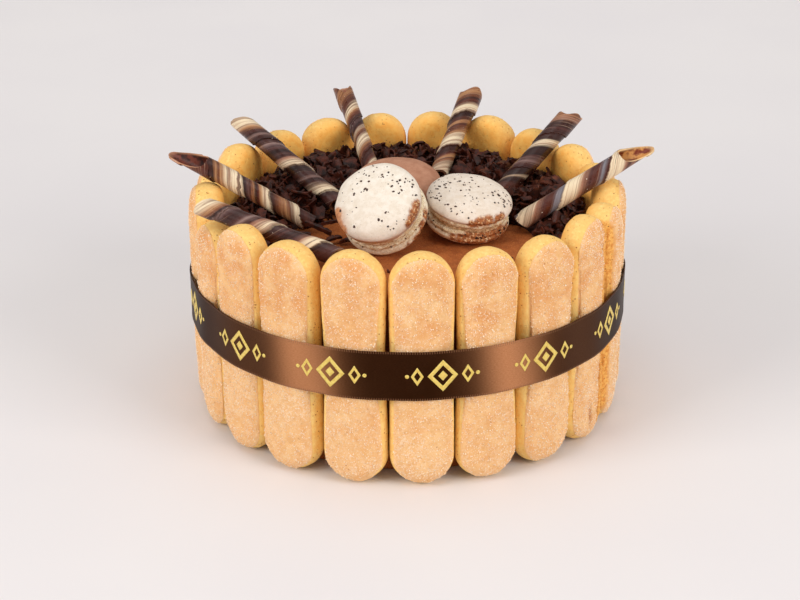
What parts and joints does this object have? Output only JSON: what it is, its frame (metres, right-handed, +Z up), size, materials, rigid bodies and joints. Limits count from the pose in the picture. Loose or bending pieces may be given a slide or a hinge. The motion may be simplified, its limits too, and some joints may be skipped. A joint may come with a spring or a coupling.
{
  "type": "tiramisu cake",
  "caption": "Round tiramisu cake walled with standing ladyfinger biscuits tied by a satin ribbon, topped with cocoa, macarons, chocolate cigarillos and chocolate shavings.",
  "frame": {"origin": "centre of the biscuit ring on the flat underside of the cake", "axes": "+Z up through the cake; -Y towards the front that the picture shows; +X to the viewer's right"},
  "size_m": [0.2367, 0.2246, 0.1317],
  "materials": {
    "ladyfinger_sponge": "matt sugared sponge",
    "cocoa_cream": "matt cocoa powder",
    "satin_ribbon": "satin with woven edges",
    "macaron_pale_shell": "matt baked shell with cocoa specks",
    "macaron_cocoa_shell": "matt baked shell",
    "macaron_filling": "soft cream",
    "marbled_chocolate": "marbled chocolate, half gloss",
    "dark_chocolate": "dark chocolate, half gloss"
  },
  "bodies": {
    "root": {"ladyfinger_01": "ladyfinger_sponge", "ladyfinger_02": "ladyfinger_sponge", "ladyfinger_03": "ladyfinger_sponge", "ladyfinger_04": "ladyfinger_sponge", "ladyfinger_05": "ladyfinger_sponge", "ladyfinger_06": "ladyfinger_sponge", "ladyfinger_07": "ladyfinger_sponge", "ladyfinger_08": "ladyfinger_sponge", "ladyfinger_09": "ladyfinger_sponge", "ladyfinger_10": "ladyfinger_sponge", "ladyfinger_11": "ladyfinger_sponge", "ladyfinger_12": "ladyfinger_sponge", "ladyfinger_13": "ladyfinger_sponge", "ladyfinger_14": "ladyfinger_sponge", "ladyfinger_15": "ladyfinger_sponge", "ladyfinger_16": "ladyfinger_sponge", "ladyfinger_17": "ladyfinger_sponge", "ladyfinger_18": "ladyfinger_sponge", "ladyfinger_19": "ladyfinger_sponge", "ladyfinger_20": "ladyfinger_sponge", "ladyfinger_21": "ladyfinger_sponge", "cake_core": "cocoa_cream", "ribbon": "satin_ribbon", "macaron_left_upper_shell": "macaron_pale_shell", "macaron_left_filling": "macaron_filling", "macaron_left_lower_shell": "macaron_pale_shell", "macaron_right_upper_shell": "macaron_pale_shell", "macaron_right_filling": "macaron_filling", "macaron_right_lower_shell": "macaron_pale_shell", "macaron_cocoa_upper_shell": "macaron_cocoa_shell", "macaron_cocoa_filling": "macaron_filling", "macaron_cocoa_lower_shell": "macaron_cocoa_shell", "cigarillo_1": "marbled_chocolate", "cigarillo_2": "marbled_chocolate", "cigarillo_3": "marbled_chocolate", "cigarillo_4": "marbled_chocolate", "cigarillo_5": "marbled_chocolate", "cigarillo_6": "marbled_chocolate", "cigarillo_7": "marbled_chocolate", "shavings_heap": "dark_chocolate"}
  },
  "joints": []
}
